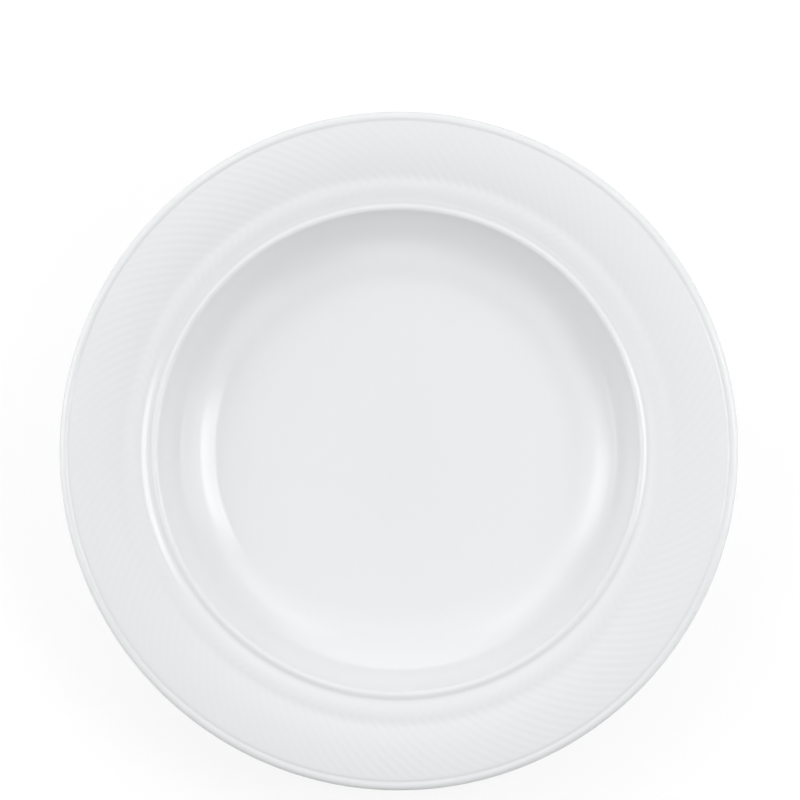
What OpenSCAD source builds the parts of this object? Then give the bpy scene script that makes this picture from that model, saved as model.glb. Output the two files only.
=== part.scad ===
// Rimmed soup plate in glazed porcelain, standing on its foot ring.
// The axis of the plate is Z, and z = 0 is the table under the foot ring.
// The fired body and its two coats of glaze are turned from one outline.

/* [Plate] */
// Outside diameter of the plate, over its glaze
plate_d = 230; // [205:1:270]
// Thickness of the glaze
glaze_t = 0.25; // [0.1:0.01:0.4]

/* [Foot ring] */
// Outside diameter of the foot ring
foot_d = 119; // [112:1:124]
// Width of the foot ring
foot_w = 4; // [3:0.1:6]
// Height of the base's underside over the table
foot_h = 3.5; // [2.8:0.1:3.9]
// Radius on both edges of the land that the plate stands on
land_round = 0.6; // [0.3:0.05:1]
// Radius in the corner outside the foot ring
foot_fillet = 1.5; // [0.8:0.1:2]
// Radius in the corner inside the foot ring
recess_fillet = 1; // [0.5:0.1:1.5]
// Height over the table at which the glaze stops
glaze_line = 1.2; // [1.1:0.1:1.6]

/* [Well] */
// Thickness of the base
base_t = 4.5; // [3.8:0.1:6]
// Thickness of the well's wall
wall_t = 4; // [3.4:0.1:4.8]
// Diameter of the ridge round the top of the well
well_d = 166; // [150:1:176]
// Depth of the floor below the ridge
well_depth = 19.8; // [16:0.1:24]
// Slope of the wall at its steepest, under the ridge, in degrees
wall_slope = 70; // [60:1:80]

/* [Ridge and roll] */
// Radius on the ridge's inner side, over the wall
ridge_in_round = 1.2; // [0.7:0.05:1.6]
// Radius on the ridge's outer side
ridge_round = 0.7; // [0.5:0.05:1]
// Slope of the ridge's outer side, in degrees
ridge_fall = 18; // [10:1:22]
// Distance from the ridge to the dip outside it
ridge_w = 1.3; // [0.9:0.05:1.6]
// Radius on the dip's inner side
dip_round = 0.7; // [0.5:0.05:1]
// Slope of the roll's inner side at its steepest, in degrees
roll_rise = 24.5; // [16:0.5:28]
// Slope of the roll's outer edge, in degrees
roll_end = -1; // [-4:1:6]

/* [Rim] */
// Slope of the rim where it leaves the hollow, in degrees
rim_rise = 16.5; // [12:0.5:22]
// Radius in the corner under the roll
knee_round = 6; // [4:0.5:8]

/* [Lip] */
// Radius of the round bead along the edge
lip_round = 1.5; // [1.3:0.05:1.8]
// Width of the groove inside the bead
groove_w = 1.35; // [1:0.05:2]
// Slope of the groove's inner side, in degrees
groove_fall = 22; // [10:1:26]
// Slope of the groove's outer side, in degrees
groove_rise = 30; // [20:1:36]

/* [Hidden] */
$fn = 180;
// How far a chord may lie from the round it stands for
chord_sag = 0.012;
// Shares of the breadth from the ridge to the lip that the roll and the hollow take
roll_share = 0.235;
hollow_share = 0.092;
// Share of the roll that its inner side takes, from the dip to where it is steepest
roll_side_share = 0.27;
// Share of the groove's width that its rounded shoulder takes
shoulder_share = 0.3;
// Radius of the arch under the rim, as a share of the arch on top of it
under_share = 0.94;

floor_z = foot_h + base_t;
well_r = well_d / 2;
floor_r = well_r - well_depth / tan(wall_slope / 2);
lip_r = plate_d / 2 - glaze_t - lip_round;
breadth = lip_r - well_r;
roll_w = breadth * roll_share;
dip_r = well_r + ridge_w;
roll_side_r = dip_r + roll_w * roll_side_share;
hollow_r = dip_r + roll_w;
rim_r = hollow_r + breadth * hollow_share;
bead_r = lip_r - lip_round * sin(groove_rise);
groove_r = bead_r - groove_w;

// Top of the body from the floor outwards: the distance from the axis at which a round
// ends, and the slope there. Each row goes on from the row before it.
TOP = [
    [floor_r, 0],
    [well_r - ridge_in_round * sin(wall_slope), wall_slope],
    [well_r, 0],
    [well_r + ridge_round * sin(ridge_fall), -ridge_fall],
    [dip_r - dip_round * sin(ridge_fall), -ridge_fall],
    [dip_r, 0],
    [roll_side_r, roll_rise],
    [hollow_r, roll_end],
    [rim_r, rim_rise],
    [groove_r, 0],
    [groove_r + groove_w * shoulder_share, -groove_fall],
    [bead_r, groove_rise]
];
// Rows from which the well's wall and the arch of the rim set out
WALL = 0;
RIM = 8;

// Direction into the body from a surface that climbs at a slope on its way outwards
function inward(slope) = [sin(slope), -cos(slope)];

// A round is its centre and its radius, which is negative where the body bulges.
function is_straight(i) = TOP[i][1] == TOP[i + 1][1];
function top_radius(i) =
    (TOP[i + 1][0] - TOP[i][0]) / (sin(TOP[i + 1][1]) - sin(TOP[i][1]));
function top_climb(i) =
    is_straight(i)
        ? (TOP[i + 1][0] - TOP[i][0]) * tan(TOP[i][1])
        : top_radius(i) * (cos(TOP[i][1]) - cos(TOP[i + 1][1]));
function top_z(i) = i == 0 ? floor_z : top_z(i - 1) + top_climb(i - 1);
function top_round(i) =
    [[TOP[i][0], top_z(i)] - top_radius(i) * inward(TOP[i][1]), top_radius(i)];

// The point outside the line from a to b that lies at given distances from both
function meet(a, a_dist, b, b_dist) =
    let (
        gap = norm(b - a),
        ahead = (b - a) / gap,
        along = (a_dist ^ 2 - b_dist ^ 2 + gap ^ 2) / (2 * gap),
        beside = sqrt(a_dist ^ 2 - along ^ 2)
    )
    a + along * ahead + beside * [-ahead[1], ahead[0]];

// Slope at which two rounds that touch pass over into each other, from 0 to a whole turn
// down, because the underside is followed from the lip inwards
function pass(from, to) =
    let (n = (to[0] - from[0]) / (from[1] - to[1]), slope = atan2(n[0], -n[1]))
    slope > 0 ? slope - 360 : slope;

// Rounds of the underside, from the lip inwards to the foot ring
wall_round = top_round(WALL);
rim_round = top_round(RIM);
lip = [[lip_r, top_z(len(TOP) - 1) - lip_round * cos(groove_rise)], -lip_round];
under_round = -rim_round[1] * under_share;
under_drop = sqrt((under_round + lip_round) ^ 2 - (lip_r - rim_round[0][0]) ^ 2);
under = [[rim_round[0][0], lip[0][1] - under_drop], under_round];
outer_wall = [wall_round[0], -wall_round[1] - wall_t];
knee_centre = meet(outer_wall[0], knee_round - outer_wall[1], under[0], under_round - knee_round);
knee = [knee_centre, knee_round];
foot_r = foot_d / 2;
foot_inner_r = foot_r - foot_w;
corner_r = foot_r + foot_fillet;
corner_drop = sqrt((foot_fillet - outer_wall[1]) ^ 2 - (corner_r - floor_r) ^ 2);
corner = [[corner_r, outer_wall[0][1] - corner_drop], foot_fillet];
land_out = [[foot_r - land_round, land_round], -land_round];
land_in = [[foot_inner_r + land_round, land_round], -land_round];
recess = [[foot_inner_r - recess_fillet, foot_h - recess_fillet], recess_fillet];

// How many chords stand for a turn of a round
function chords(radius, turn) =
    max(2, ceil(abs(turn) / (2 * acos(1 - chord_sag / max(abs(radius), chord_sag)))));

// Points along a round between two slopes, at a given height over the body's surface
function along(round, from, to, height) =
    let (steps = chords(round[1], to - from))
    [for (k = [0:steps]) round[0] + (round[1] - height) * inward(from + (to - from) * k / steps)];

// The body's surface, or a surface at a given height over it, in two runs: from the
// middle of the floor over the lip to the glaze line, and from the glaze line inside
// the foot ring to the middle of the base. The lip is cut at its top and at its edge,
// so that the plate's full height and diameter are points of the outline.
function outer_run(height) = [
    [0, floor_z + height],
    for (i = [0:len(TOP) - 2])
        if (!is_straight(i))
            each along(top_round(i), TOP[i][1], TOP[i + 1][1], height),
    each along(lip, groove_rise, 0, height),
    each along(lip, 0, -90, height),
    each along(lip, -90, pass(lip, under), height),
    each along(under, pass(lip, under), pass(under, knee), height),
    each along(knee, pass(under, knee), pass(knee, outer_wall), height),
    each along(outer_wall, pass(knee, outer_wall), pass(outer_wall, corner), height),
    each along(corner, pass(outer_wall, corner), -90, height),
    [foot_r + height, glaze_line]
];
function land_run() = concat(along(land_out, -90, -180, 0), along(land_in, -180, -270, 0));
function inner_run(height) = [
    [foot_inner_r - height, glaze_line],
    each along(recess, -270, -180, height),
    [0, foot_h - height]
];
function backwards(run) = [for (i = [len(run) - 1:-1:0]) run[i]];

// One turned piece of fired porcelain: well, ridge, roll, rim, lip and foot ring
module porcelain_body() {
    color([0.93, 0.91, 0.86])
        rotate_extrude()
            polygon(concat(outer_run(0), land_run(), inner_run(0)));
}

// Clear glaze over the white body, from the well over the lip down to the foot ring
module glaze_coat() {
    color([0.93, 0.94, 0.95])
        rotate_extrude()
            polygon(concat(outer_run(glaze_t), backwards(outer_run(0))));
}

// Glaze on the base inside the foot ring
module base_glaze() {
    color([0.9, 0.91, 0.93])
        rotate_extrude()
            polygon(concat(inner_run(glaze_t), backwards(inner_run(0))));
}

porcelain_body();
glaze_coat();
base_glaze();
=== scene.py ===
import math

import bmesh
import bpy
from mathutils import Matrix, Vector, noise


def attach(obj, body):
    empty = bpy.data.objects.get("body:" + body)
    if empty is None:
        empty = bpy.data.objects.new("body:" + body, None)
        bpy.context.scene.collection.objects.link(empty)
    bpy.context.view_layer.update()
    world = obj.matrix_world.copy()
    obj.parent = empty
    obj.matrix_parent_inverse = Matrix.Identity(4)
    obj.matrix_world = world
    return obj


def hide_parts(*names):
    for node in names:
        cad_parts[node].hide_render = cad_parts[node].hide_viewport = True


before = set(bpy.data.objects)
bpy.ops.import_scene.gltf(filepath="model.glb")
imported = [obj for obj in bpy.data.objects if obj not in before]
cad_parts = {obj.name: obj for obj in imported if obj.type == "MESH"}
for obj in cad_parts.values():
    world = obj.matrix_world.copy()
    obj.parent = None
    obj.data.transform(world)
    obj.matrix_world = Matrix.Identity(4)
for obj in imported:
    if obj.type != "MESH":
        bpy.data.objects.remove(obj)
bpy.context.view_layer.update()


# Porcelain body. One piece of white hard porcelain, roller-formed on a mould, with
# the foot ring, the well, the ridge, the roll and the lip turned from one outline.
# It is bare only on the land of the foot ring, which is ground level after firing.

floor_z = 0.0080
well_r = 0.0830
well_depth = 0.0198
wall_slope = 70
wall_t = 0.0040
ridge_inner = 0.0012
ridge_outer = 0.0007
ridge_fall = 18
dip_r = 0.0843
dip_round = 0.0007
roll_rise = 24.5
roll_end = -1
rim_rise = 16.5
knee_round = 0.0060
lip_round = 0.0015
lip_r = 0.11325
groove_w = 0.00135
groove_fall = 22
groove_rise = 30
roll_share = 0.235
roll_side_share = 0.27
hollow_share = 0.092
shoulder_share = 0.3
under_share = 0.94
foot_r = 0.0595
foot_inner_r = 0.0555
foot_h = 0.0035
foot_fillet = 0.0015
recess_fillet = 0.0010
land_round = 0.0006
glaze_line = 0.0012

floor_r = well_r - well_depth / math.tan(math.radians(wall_slope / 2))
breadth = lip_r - well_r
hollow_r = dip_r + roll_share * breadth
rim_r = hollow_r + hollow_share * breadth
roll_side_r = dip_r + roll_side_share * roll_share * breadth
bead_r = lip_r - lip_round * math.sin(math.radians(groove_rise))
groove_r = bead_r - groove_w

body_columns = 168
recess_rows = 4
joined_within = 1e-6
merged_within = 1e-7


def inward(slope):
    """Direction into the body from a surface that climbs outwards at a slope in degrees."""
    return Vector((math.sin(math.radians(slope)), 0.0, -math.cos(math.radians(slope))))


def top_rounds():
    """Rounds of the body's top from the floor to the bead. A round is its centre, its radius
    (negative where the body bulges), the slopes it runs between, its rows of faces, and the
    rows on the straight before it."""
    stretches = (  # distance from the axis and slope at its end, rows of faces
        (floor_r, 0, 6),
        (well_r - ridge_inner * math.sin(math.radians(wall_slope)), wall_slope, 20),
        (well_r, 0, 7),
        (well_r + ridge_outer * math.sin(math.radians(ridge_fall)), -ridge_fall, 3),
        (dip_r - dip_round * math.sin(math.radians(ridge_fall)), -ridge_fall, 1),
        (dip_r, 0, 2),
        (roll_side_r, roll_rise, 6),
        (hollow_r, roll_end, 8),
        (rim_r, rim_rise, 5),
        (groove_r, 0, 14),
        (groove_r + shoulder_share * groove_w, -groove_fall, 2),
        (bead_r, groove_rise, 5),
    )
    rounds = []
    at, slope, lead = Vector((0, 0, floor_z)), 0, 1
    for reach, next_slope, rows in stretches:
        if next_slope == slope:
            at = at + Vector((1, 0, math.tan(math.radians(slope)))) * (reach - at.x)
            lead = rows
        else:
            turn = math.sin(math.radians(next_slope)) - math.sin(math.radians(slope))
            radius = (reach - at.x) / turn
            centre = at - radius * inward(slope)
            rounds.append((centre, radius, slope, next_slope, rows, lead))
            at, lead = centre + radius * inward(next_slope), 1
        slope = next_slope
    return rounds


def meet(a, a_dist, b, b_dist):
    """The point outside the line from a to b that lies at given distances from both."""
    gap = (b - a).length
    ahead = (b - a) / gap
    along = (a_dist**2 - b_dist**2 + gap**2) / (2 * gap)
    beside = math.sqrt(a_dist**2 - along**2)
    return a + along * ahead + beside * Vector((-ahead.z, 0, ahead.x))


def passing(a, b):
    """Slope, from 0 to a whole turn down, at which two rounds that touch pass over."""
    n = (b[0] - a[0]) / (a[1] - b[1])
    slope = math.degrees(math.atan2(n.x, -n.z))
    return slope - 360 if slope > 0 else slope


def under_rounds(top):
    """Rounds from the bead over the lip, which has three, and back under the rim to the foot
    ring. Each is written as in top_rounds."""
    wall, rim, groove = top[0], top[-3], top[-1]
    bead_at = groove[0] + groove[1] * inward(groove_rise)
    lip = (bead_at + lip_round * inward(groove_rise), -lip_round)
    under_round = -rim[1] * under_share
    drop = math.sqrt((under_round + lip_round) ** 2 - (lip[0].x - rim[0].x) ** 2)
    under = (Vector((rim[0].x, 0, lip[0].z - drop)), under_round)
    outer_wall = (wall[0], -wall[1] - wall_t)
    knee_at = meet(outer_wall[0], knee_round - outer_wall[1], under[0], under_round - knee_round)
    knee = (knee_at, knee_round)
    corner_r = foot_r + foot_fillet
    fall = math.sqrt((foot_fillet - outer_wall[1]) ** 2 - (corner_r - floor_r) ** 2)
    corner = (Vector((corner_r, 0, outer_wall[0].z - fall)), foot_fillet)
    return [
        (*lip, groove_rise, 0, 4, 1),
        (*lip, 0, -90, 9, 1),
        (*lip, -90, passing(lip, under), 7, 1),
        (*under, passing(lip, under), passing(under, knee), 10, 1),
        (*knee, passing(under, knee), passing(knee, outer_wall), 7, 1),
        (*outer_wall, passing(knee, outer_wall), passing(outer_wall, corner), 8, 1),
        (*corner, passing(outer_wall, corner), -90, 5, 1),
    ]


def backwards(rounds):
    """The same rounds, followed the other way."""
    return [(c, r, end, start, rows, 1) for c, r, start, end, rows, lead in reversed(rounds)]


def line_to(mesh, last, place, rows=1):
    """Draws a straight line of edges from a vertex to a place, one for each row of faces."""
    step = (place - last.co) / rows
    for _ in range(rows):
        begin = last.co.copy()
        last = bmesh.ops.extrude_vert_indiv(mesh, verts=[last])["verts"][0]
        last.co = begin + step
    return last


def trace(mesh, last, rounds, lift=0.0):
    """Spins a vertex along rounds at a height over the body, and gives the last vertex."""
    for centre, radius, start, end, rows, lead in rounds:
        begin = centre + (radius - lift) * inward(start)
        if (begin - last.co).length > joined_within:
            last = line_to(mesh, last, begin, lead)
        spun = bmesh.ops.spin(
            mesh, geom=[last], cent=centre, axis=(0, -1, 0), dvec=(0, 0, 0),
            angle=math.radians(end - start), steps=rows,
        )
        last = next(g for g in spun["geom_last"] if isinstance(g, bmesh.types.BMVert))
    return last


def turn_round(mesh, columns):
    """Spins the outline, which starts and ends on the axis, into a closed shell."""
    bmesh.ops.spin(
        mesh, geom=mesh.verts[:] + mesh.edges[:], cent=(0, 0, 0), axis=(0, 0, 1),
        dvec=(0, 0, 0), angle=2 * math.pi, steps=columns, use_merge=True,
    )
    bmesh.ops.remove_doubles(mesh, verts=mesh.verts[:], dist=merged_within)
    bmesh.ops.recalc_face_normals(mesh, faces=mesh.faces[:])


def place_piece(mesh, name, stands_for, finish):
    """Makes the piece from its mesh, with its finish, on the plate's one body."""
    data = bpy.data.meshes.new(name)
    for face in mesh.faces:
        face.smooth = True
    mesh.to_mesh(data)
    mesh.free()
    piece = bpy.data.objects.new(name, data)
    bpy.context.scene.collection.objects.link(piece)
    data.materials.append(finish)
    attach(piece, "root")
    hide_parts(stands_for)


class Wire:
    """An output of a material's nodes. Sums written with wires add Math nodes."""

    def __init__(self, tree, socket=None):
        self.tree, self.socket = tree, socket

    def node(self, kind, settings=(), sockets=(), out=0):
        """Adds a node, sets it up, fills or links its sockets, and gives one output."""
        made = self.tree.nodes.new(kind)
        for name, value in dict(settings).items():
            setattr(made, name, value)
        for name, value in dict(sockets).items():
            if isinstance(value, Wire):
                self.tree.links.new(value.socket, made.inputs[name])
            else:
                made.inputs[name].default_value = value
        return Wire(self.tree, made.outputs[out] if made.outputs else None)

    def maths(self, operation, a, b):
        return self.node("ShaderNodeMath", {"operation": operation}, {0: a, 1: b})

    def __add__(self, other):
        return self.maths("ADD", self, other)

    def __radd__(self, other):
        return self.maths("ADD", other, self)

    def __sub__(self, other):
        return self.maths("SUBTRACT", self, other)

    def __rsub__(self, other):
        return self.maths("SUBTRACT", other, self)

    def __mul__(self, other):
        return self.maths("MULTIPLY", self, other)

    def __rmul__(self, other):
        return self.maths("MULTIPLY", other, self)


def new_finish(name):
    """A material with empty nodes, and the wire that its nodes are added from."""
    finish = bpy.data.materials.new(name)
    finish.use_nodes = True
    finish.node_tree.nodes.clear()
    return finish, Wire(finish.node_tree)


def noise_at(place, scale, detail):
    """Soft noise over a surface, with so many cells to the metre."""
    return place.node(
        "ShaderNodeTexNoise", {}, {"Vector": place, "Scale": scale, "Detail": detail}
    )


def blend(wire, factor, a, b):
    """Mixes two colours by a factor. A Mix node has its colours in sockets 6 and 7."""
    return wire.node(
        "ShaderNodeMix", {"data_type": "RGBA"}, {0: factor, 6: a, 7: b}, out=2
    )


def bumps(height, distance, strength=1.0):
    """A normal that tilts as a height of 1 stands a distance in metres over the surface."""
    return height.node(
        "ShaderNodeBump", {}, {"Strength": strength, "Distance": distance, "Height": height}
    )


bisque_white = (0.78, 0.75, 0.69, 1)
bisque_grey = (0.66, 0.63, 0.58, 1)
bisque_roughness = 0.85
grain_scale = 2600.0
grain_tint = 0.25
grain_height = 0.00004
grain_strength = 0.6
scuff_scale = 120.0
scuff_from = 0.55
scuff_full = 0.75
scuff_tint = 0.5
scuff_polish = 0.2

bisque, wire = new_finish("bisque_porcelain")
place = wire.node("ShaderNodeTexCoord", out="Object")
grain = noise_at(place, grain_scale, 3.0)
scuff = wire.node(
    "ShaderNodeMapRange", {"interpolation_type": "SMOOTHSTEP"},
    {"Value": noise_at(place, scuff_scale, 4.0), "From Min": scuff_from, "From Max": scuff_full},
)
shader = wire.node(
    "ShaderNodeBsdfPrincipled", {},
    {"Base Color": blend(wire, scuff * scuff_tint + grain * grain_tint, bisque_white, bisque_grey),
     "Roughness": bisque_roughness - scuff * scuff_polish,
     "Normal": bumps(grain, grain_height, grain_strength)},
)
wire.node("ShaderNodeOutputMaterial", {}, {"Surface": shader})

top = top_rounds()
under = under_rounds(top)
land = [
    (Vector((foot_r - land_round, 0, land_round)), -land_round, -90, -180, 6, 1),
    (Vector((foot_inner_r + land_round, 0, land_round)), -land_round, -180, -270, 6, 2),
]
recess = [
    (Vector((foot_inner_r - recess_fillet, 0, foot_h - recess_fillet)), recess_fillet,
     -270, -180, 6, 1),
]

mesh = bmesh.new()
middle = mesh.verts.new((0, 0, floor_z))
edge = trace(mesh, middle, top + under + land + recess)
line_to(mesh, edge, Vector((0, 0, foot_h)), recess_rows)
turn_round(mesh, body_columns)
place_piece(mesh, "turned_body", "porcelain_body", bisque)


# Glaze coat. Clear glossy glaze, fired on all over but the land, so the body shows
# through it white. It follows the slanting flutes that are pressed into the roll
# and the rim, softens them, and lies a little thicker and cooler in every hollow.
# Its colour is painted darker in the dip and the groove, partly for that thicker
# glaze and partly as painted shade in these creases.

glaze_t = 0.00025
lip_rounds = 3

flutes = 168
columns_per_flute = 8
flute_depth = 0.000038
flute_sharpness = 1.3
flute_start = 0.0842
flute_turn_a = 0.0869
flute_turn_b = 0.0913
flute_end = 0.1113
turn_before = 0.0006
turn_after = 0.0020
end_reach = 0.0003
start_margin = 0.0001
strength_on_roll = 0.15
strength_past_roll = 0.6
strength_on_rim = 0.25

roll_lean = 10.8
rim_lean = 8.5
rim_lean_growth = 59.0
wobble_turn = 0.0022
wobble_scale = 70

# The dip and the groove are painted darker and cooler, partly for glaze that lies thicker there
# and partly as painted shade in these creases; the flutes darken a little for thicker glaze only.
dip_pool_and_shade_r = 0.0842
groove_pool_and_shade_r = 0.1120
pool_and_shade_reach = 0.0011
dip_pool_and_shade = 0.9
groove_pool_and_shade = 0.8
flute_pool = 0.10

glaze_white = (0.840, 0.853, 0.862, 1)
# The darker, cooler glaze colour: pooled glaze with painted shade in the dip and the groove, and
# the darker clouds on the base.
glaze_dark_tint = (0.750, 0.767, 0.773, 1)
glaze_ior = 1.5
glaze_roughness = 0.04
cloud_scale = 22.0
cloud_tint = 0.05
cloud_roughness = 0.03
swell_scale = 75.0
swell_height = 0.00001


def smooth_step(low, high, value):
    """Climbs from 0 at a low value to 1 at a high one, level at both ends."""
    share = min(1.0, max(0.0, (value - low) / (high - low)))
    return share * share * (3 - 2 * share)


def flute_twist(r):
    """How far, in radians, a flute has turned about the axis at a distance from it."""
    r = min(max(r, flute_start), flute_end)
    first = min(r, flute_turn_a) - flute_start
    second = max(0.0, min(r, flute_turn_b) - flute_turn_a)
    third = max(0.0, r - flute_turn_b)
    return roll_lean * (first - second) + rim_lean * third + rim_lean_growth * third**2


def flute_relief(turn, r):
    """Share of the flute's depth at an angle about the axis and a distance from it."""
    across = abs(math.sin(flutes * turn / 2)) ** flute_sharpness
    strength = strength_on_roll * smooth_step(flute_start, flute_turn_a, r)
    strength += strength_past_roll * smooth_step(
        flute_turn_a - turn_before, flute_turn_a + turn_after, r
    )
    strength += strength_on_rim * smooth_step(flute_turn_a, flute_turn_b, r)
    strength *= 1 - smooth_step(flute_end - end_reach, flute_end + end_reach, r)
    return across * strength


mesh = bmesh.new()
ring = mesh.verts.layers.float.new("ring")
upper = mesh.verts.layers.float.new("upper")
pool_and_shade = mesh.verts.layers.float.new("pool_and_shade")
middle = mesh.verts.new((0, 0, floor_z + glaze_t))
lip_edge = trace(mesh, middle, top + under[:lip_rounds], glaze_t)
upper_verts = set(mesh.verts)
edge = trace(mesh, lip_edge, under[lip_rounds:], glaze_t)
edge = line_to(mesh, edge, Vector((foot_r + glaze_t, 0, glaze_line)))
edge = line_to(mesh, edge, Vector((foot_r, 0, glaze_line)))
inside = trace(mesh, edge, backwards(top + under))
line_to(mesh, inside, Vector((0, 0, floor_z)))
for vert in mesh.verts:
    vert[ring] = vert.co.x
    vert[upper] = 1.0 if vert in upper_verts else 0.0
turn_round(mesh, flutes)


def ring_edges(low=0.0, high=math.inf):
    """Edges that run round the plate's upper side between two distances from the axis."""
    return [
        e for e in mesh.edges
        if all(v[upper] == 1.0 and low < v[ring] < high for v in e.verts)
        and abs(e.verts[0][ring] - e.verts[1][ring]) < merged_within
        and abs(e.verts[0].co.z - e.verts[1].co.z) < merged_within
    ]


bmesh.ops.subdivide_edges(mesh, edges=ring_edges(), cuts=1)
bmesh.ops.subdivide_edges(
    mesh, edges=ring_edges(flute_start - start_margin, flute_end + end_reach),
    cuts=columns_per_flute // 2 - 1,
)
last_twist = flute_twist(flute_end)
for vert in mesh.verts:
    r = vert[ring]
    if r == 0.0:
        continue
    turn = math.atan2(vert.co.y, vert.co.x)
    twist, depth = last_twist, 0.0
    if vert[upper] == 1.0:
        depth = flute_relief(turn, r)
        if r < flute_end:
            wobble = wobble_turn * noise.noise(Vector((vert.co.x, vert.co.y, 0)) * wobble_scale)
            twist = flute_twist(r) + wobble * smooth_step(flute_start, flute_turn_b, r)
        # Painted shade, together with thicker glaze, darkens the rings of the dip and the groove
        # in the pool mask.
        in_dip = 1 - smooth_step(0.0, pool_and_shade_reach, abs(r - dip_pool_and_shade_r))
        in_groove = 1 - smooth_step(0.0, pool_and_shade_reach, abs(r - groove_pool_and_shade_r))
        vert[pool_and_shade] = max(dip_pool_and_shade * in_dip, groove_pool_and_shade * in_groove, flute_pool * depth)
    vert.co.x = r * math.cos(turn + twist)
    vert.co.y = r * math.sin(turn + twist)
    vert.co.z -= flute_depth * depth

glaze, wire = new_finish("clear_glaze")
place = wire.node("ShaderNodeTexCoord", out="Object")
pooled_and_shaded = wire.node("ShaderNodeAttribute", {"attribute_name": "pool_and_shade"}, out="Fac")
clouds = noise_at(place, cloud_scale, 2.0)
swell = noise_at(place, swell_scale, 1.0)
# The base colour darkens by the pool mask, which holds pooled glaze and painted shade in the dip
# and the groove.
shader = wire.node(
    "ShaderNodeBsdfPrincipled", {},
    {"Base Color": blend(wire, pooled_and_shaded + clouds * cloud_tint, glaze_white, glaze_dark_tint),
     "Roughness": glaze_roughness + clouds * cloud_roughness,
     "Normal": bumps(swell, swell_height), "IOR": glaze_ior},
)
wire.node("ShaderNodeOutputMaterial", {}, {"Surface": shader})
place_piece(mesh, "fluted_glaze", "glaze_coat", glaze)


# Base glaze. The same clear glaze on the base inside the foot ring, where it is poured
# in thin and wiped off the ring's edge before firing, so the bare land parts it from
# the coat outside.

base_cloud_scale = 40.0
base_cloud_tint = 0.3
base_cloud_height = 0.00002
base_cloud_roughness = 0.06
base_roughness = 0.06

base_finish, wire = new_finish("clear_glaze_on_base")
place = wire.node("ShaderNodeTexCoord", out="Object")
clouds = noise_at(place, base_cloud_scale, 3.0)
shader = wire.node(
    "ShaderNodeBsdfPrincipled", {},
    {"Base Color": blend(wire, clouds * base_cloud_tint, glaze_white, glaze_dark_tint),
     "Roughness": base_roughness + clouds * base_cloud_roughness,
     "Normal": bumps(clouds, base_cloud_height), "IOR": glaze_ior},
)
wire.node("ShaderNodeOutputMaterial", {}, {"Surface": shader})

mesh = bmesh.new()
middle = mesh.verts.new((0, 0, foot_h - glaze_t))
inner_edge = trace(mesh, middle, backwards(recess), glaze_t)
inner_edge = line_to(mesh, inner_edge, Vector((foot_inner_r - glaze_t, 0, glaze_line)))
inner_edge = line_to(mesh, inner_edge, Vector((foot_inner_r, 0, glaze_line)))
inner_edge = trace(mesh, inner_edge, recess)
line_to(mesh, inner_edge, Vector((0, 0, foot_h)))
turn_round(mesh, body_columns)
place_piece(mesh, "recess_glaze", "base_glaze", base_finish)


# Table. The plain white table that the plate rests on. It keeps the plate's soft shadow,
# and is a little brighter to the camera and in the gloss than the light it gives back.

table_half = 3.0
table_paint = (0.85, 0.85, 0.85, 1)
table_shadow_paint = (0.3, 0.3, 0.3, 1)
table_glow = 0.75
pure_white = (1, 1, 1, 1)


def seen(wire):
    """1 for what the camera sees, straight, in gloss or through glass, and 0 for light."""
    path = wire.node("ShaderNodeLightPath", out="Is Camera Ray")
    glossy = wire.node("ShaderNodeLightPath", out="Is Glossy Ray")
    through = wire.node("ShaderNodeLightPath", out="Is Transmission Ray")
    return wire.node(
        "ShaderNodeMath", {"operation": "ADD", "use_clamp": True}, {0: path + glossy, 1: through}
    )


table_finish, wire = new_finish("white_table")
paint = wire.node("ShaderNodeBsdfDiffuse", {}, {"Color": table_paint})
dim = wire.node("ShaderNodeBsdfDiffuse", {}, {"Color": table_shadow_paint})
white = wire.node("ShaderNodeEmission", {}, {"Color": pure_white, "Strength": table_glow})
pale = wire.node("ShaderNodeAddShader", {}, {0: dim, 1: white})
shader = wire.node("ShaderNodeMixShader", {}, {0: seen(wire), 1: paint, 2: pale})
wire.node("ShaderNodeOutputMaterial", {}, {"Surface": shader})

mesh = bmesh.new()
bmesh.ops.create_grid(mesh, x_segments=1, y_segments=1, size=table_half)
data = bpy.data.meshes.new("table_top")
mesh.to_mesh(data)
mesh.free()
table = bpy.data.objects.new("table_top", data)
bpy.context.scene.collection.objects.link(table)
data.materials.append(table_finish)


# Light. Soft boxes of cloth round the plate, which grow dark towards their edges, in a
# white room. The strip on the right makes the crescent in the well and on the roll.

box_distance = 0.85

world = bpy.data.worlds.new("room")
bpy.context.scene.world = world
world.use_nodes = True
world.node_tree.nodes.clear()
wire = Wire(world.node_tree)
dim_room = wire.node("ShaderNodeBackground", {}, {"Color": pure_white, "Strength": 0.0})
white_room = wire.node("ShaderNodeBackground", {}, {"Color": pure_white, "Strength": 1.0})
shader = wire.node("ShaderNodeMixShader", {}, {0: seen(wire), 1: dim_room, 2: white_room})
wire.node("ShaderNodeOutputWorld", {}, {"Surface": shader})


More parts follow.
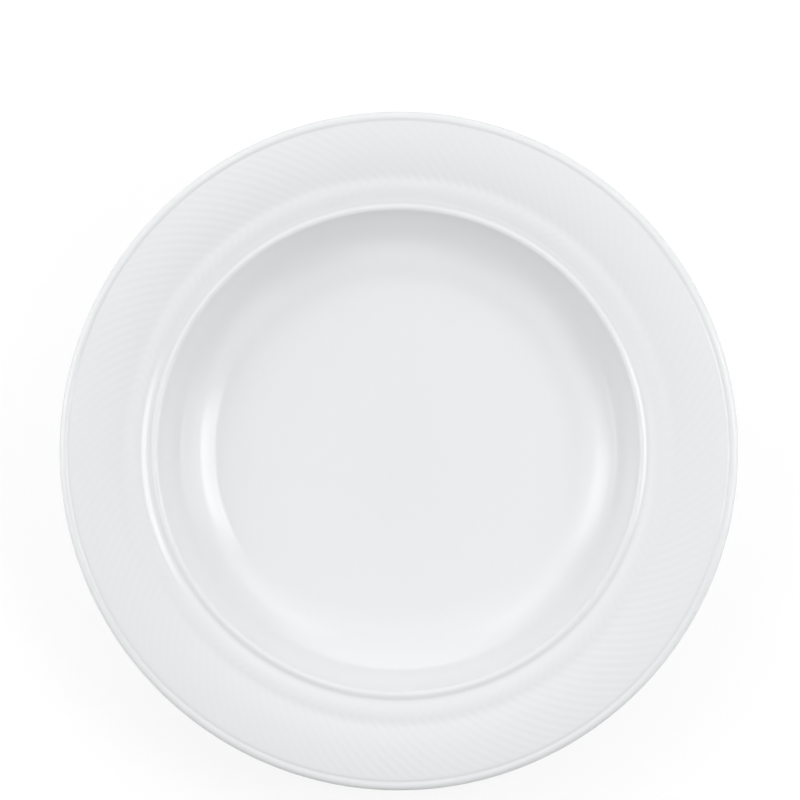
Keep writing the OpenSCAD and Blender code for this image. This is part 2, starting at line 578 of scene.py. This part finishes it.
def soft_box(name, azimuth, zenith, wide, high, fade, brightness):
    """A flat soft box that faces the plate. Azimuth 0 is on the right, 90 is at the back. Fade
    is the shares of its width, its foot and its head over which it grows dark."""
    lamp = bpy.data.lights.new(name, "AREA")
    lamp.shape = "RECTANGLE"
    lamp.size, lamp.size_y = wide, high
    lamp.energy = brightness * math.pi * wide * high
    lamp.use_nodes = True
    lamp.node_tree.nodes.clear()
    wire = Wire(lamp.node_tree)
    cloth = wire.node("ShaderNodeTexCoord", out="UV")
    across = wire.node("ShaderNodeSeparateXYZ", {}, {0: cloth}, out="X")
    up = wire.node("ShaderNodeSeparateXYZ", {}, {0: cloth}, out="Y")
    side, foot, head = fade
    light = 1.0
    for way, share in ((across, side), (1 - across, side), (up, foot), (1 - up, head)):
        light = light * wire.node(
            "ShaderNodeMapRange", {"interpolation_type": "SMOOTHSTEP"},
            {"Value": way, "From Max": share},
        )
    glow = wire.node("ShaderNodeEmission", {}, {"Strength": light})
    wire.node("ShaderNodeOutputLight", {}, {"Surface": glow})
    box = bpy.data.objects.new(name, lamp)
    a, z = math.radians(azimuth), math.radians(zenith)
    away = Vector((math.cos(a) * math.sin(z), math.sin(a) * math.sin(z), math.cos(z)))
    box.location = away * box_distance
    box.rotation_euler = away.to_track_quat("Z", "Y").to_euler()
    bpy.context.scene.collection.objects.link(box)


soft_box("right_strip", 4, 40, 0.54, 0.40, (0.3, 0.3, 0.05), 3.60)
soft_box("right_box", 0, 58, 0.90, 0.84, (0.4, 0.5, 0.3), 1.70)
soft_box("right_low_box", 0, 88, 0.90, 0.50, (0.4, 0.5, 0.6), 2.50)
soft_box("back_right_box", 45, 46, 0.75, 0.70, (0.4, 0.4, 0.5), 1.30)
soft_box("back_left_box", 135, 50, 0.75, 0.80, (0.4, 0.4, 0.5), 1.27)
soft_box("back_high_box", 90, 22, 1.40, 0.45, (0.4, 0.5, 0.5), 0.47)
soft_box("back_box", 90, 44, 1.60, 0.55, (0.4, 0.5, 0.5), 0.93)
soft_box("back_deep_box", 90, 64, 1.60, 0.50, (0.4, 0.5, 0.5), 1.33)
soft_box("back_low_box", 90, 82, 1.60, 0.50, (0.4, 0.5, 0.5), 1.40)
soft_box("left_strip", 169, 59, 0.55, 0.60, (0.35, 0.40, 0.35), 2.00)
soft_box("left_wide_box", 180, 50, 0.90, 1.20, (0.4, 0.5, 0.5), 1.89)
soft_box("left_low_box", 180, 88, 0.90, 0.50, (0.4, 0.5, 0.6), 2.50)
soft_box("front_left_box", 225, 50, 0.70, 0.90, (0.5, 0.4, 0.4), 0.94)
soft_box("front_box", 270, 50, 0.80, 0.90, (0.5, 0.4, 0.4), 1.04)
soft_box("front_right_box", 318, 50, 0.70, 0.90, (0.5, 0.4, 0.4), 1.14)
soft_box("overhead_box", 90, 10, 0.90, 0.90, (0.3, 0.3, 0.3), 0.29)


# Camera. It looks straight down on the plate from two metres, from a little behind its
# middle, so that the plate stands low in the picture.

view_distance = 2.0
view_width = 0.2710
view_right = 0.0004
view_behind = 0.0173
view_level = 0.031

camera = bpy.data.cameras.new("camera")
camera.sensor_width = 36
camera.lens = camera.sensor_width * view_distance / view_width
camera.clip_end = 10
eye = bpy.data.objects.new("camera", camera)
eye.location = (view_right, view_behind, view_level + view_distance)
bpy.context.scene.collection.objects.link(eye)
bpy.context.scene.camera = eye
bpy.context.scene.view_settings.view_transform = "Standard"
